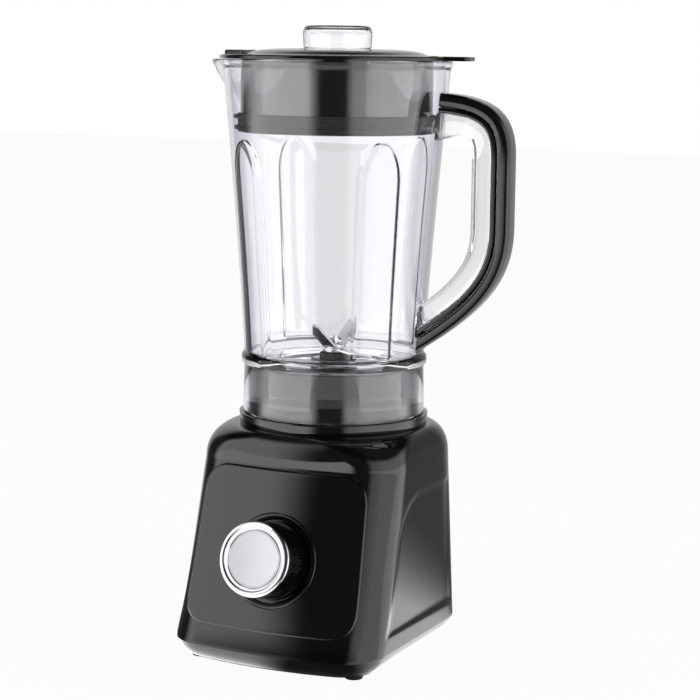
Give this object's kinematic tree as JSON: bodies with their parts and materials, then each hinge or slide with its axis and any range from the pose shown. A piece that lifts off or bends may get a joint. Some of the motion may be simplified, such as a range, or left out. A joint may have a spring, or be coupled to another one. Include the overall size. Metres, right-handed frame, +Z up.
{
  "type": "countertop blender",
  "caption": "Countertop blender with a clear fluted jar, D-shaped handle, black lid with a clear measuring cap, and a black motor base with a chrome-ringed speed knob.",
  "frame": {"origin": "on the shared axis of the motor and the jar, on the surface that the feet stand on", "axes": "+Z up along the drive axis, -Y to the front with the speed knob, +X to the right side"},
  "size_m": [0.1878, 0.1788, 0.3764],
  "materials": {
    "black_gloss": "glossy moulded black plastic",
    "black_matte": "fine matte moulding",
    "clear_plastic": "clear polished styrene-acrylonitrile",
    "chrome": "bright plated ring",
    "spun_aluminium": "spun circular brushing",
    "blade_steel": "ground stainless steel",
    "steel": "plain zinc-plated steel",
    "lamination": "stacked electrical steel",
    "bracket_metal": "die-cast",
    "copper": "enamelled copper wire",
    "bronze": "sintered bronze",
    "carbon": "pressed carbon",
    "nylon": "natural nylon",
    "black_rubber": "soft matte rubber",
    "gasket_rubber": "grey silicone"
  },
  "bodies": {
    "base": {"housing": "black_gloss", "front_panel": "black_gloss", "bottom_cover": "black_matte", "foot_front_left": "black_rubber", "foot_front_right": "black_rubber", "foot_back_right": "black_rubber", "foot_back_left": "black_rubber", "jar_seat": "black_gloss", "knob_bezel": "black_gloss", "speed_switch": "black_matte", "switch_nut": "steel", "motor_stator": "lamination", "field_coils": "copper", "upper_bracket": "bracket_metal", "lower_bracket": "bracket_metal", "upper_bearing": "steel", "lower_bearing": "steel", "brush_holders": "nylon", "carbon_brushes": "carbon", "motor_isolators": "black_rubber", "motor_screws": "steel", "cover_screws": "steel", "seat_screws": "steel", "cord_inlet": "black_rubber", "terminal_block": "nylon"},
    "rotor": {"motor_shaft": "steel", "armature_core": "lamination", "armature_winding": "copper", "commutator": "copper", "cooling_fan": "nylon", "drive_coupling": "black_matte"},
    "knob": {"speed_knob": "black_gloss", "knob_ring": "chrome", "knob_disc": "spun_aluminium", "switch_shaft": "nylon"},
    "jar": {"jar": "clear_plastic", "jar_handle": "clear_plastic", "handle_grip": "black_gloss", "jar_sleeve": "black_gloss", "hub_gasket": "gasket_rubber", "blade_hub": "black_matte", "hub_nut": "black_matte", "hub_bushes": "bronze", "shaft_seal": "black_rubber"},
    "blades": {"blade_shaft": "blade_steel", "upper_blades": "blade_steel", "lower_blades": "blade_steel", "blade_washers": "blade_steel", "blade_nut": "blade_steel", "blade_coupling": "black_matte", "shaft_clip": "steel"},
    "lid": {"lid": "black_gloss", "lid_seal": "black_rubber"},
    "cap": {"measuring_cap": "clear_plastic"}
  },
  "joints": [
    {"name": "motor_spin", "type": "hinge", "parent": "base", "child": "rotor", "pos_m": [0, 0, 0.05], "axis": [0, 0, 1], "continuous": true},
    {"name": "knob_turn", "type": "hinge", "parent": "base", "child": "knob", "pos_m": [0, -0.07916, 0.065], "axis": [0, -0.9665, 0.2565], "range_deg": [-90, 45]},
    {"name": "jar_lift", "type": "slide", "parent": "base", "child": "jar", "axis": [0, 0, 1], "range_m": [0, 0.18]},
    {"name": "blade_spin", "type": "hinge", "parent": "jar", "child": "blades", "pos_m": [0, 0, 0.18], "axis": [0, 0, 1], "continuous": true},
    {"name": "lid_lift", "type": "slide", "parent": "jar", "child": "lid", "axis": [0, 0, 1], "range_m": [0, 0.12]},
    {"name": "cap_lift", "type": "slide", "parent": "lid", "child": "cap", "axis": [0, 0, 1], "range_m": [0, 0.06]}
  ],
  "couplings": [
    {"joint": "blade_spin", "follows": "motor_spin", "ratio": 1}
  ]
}
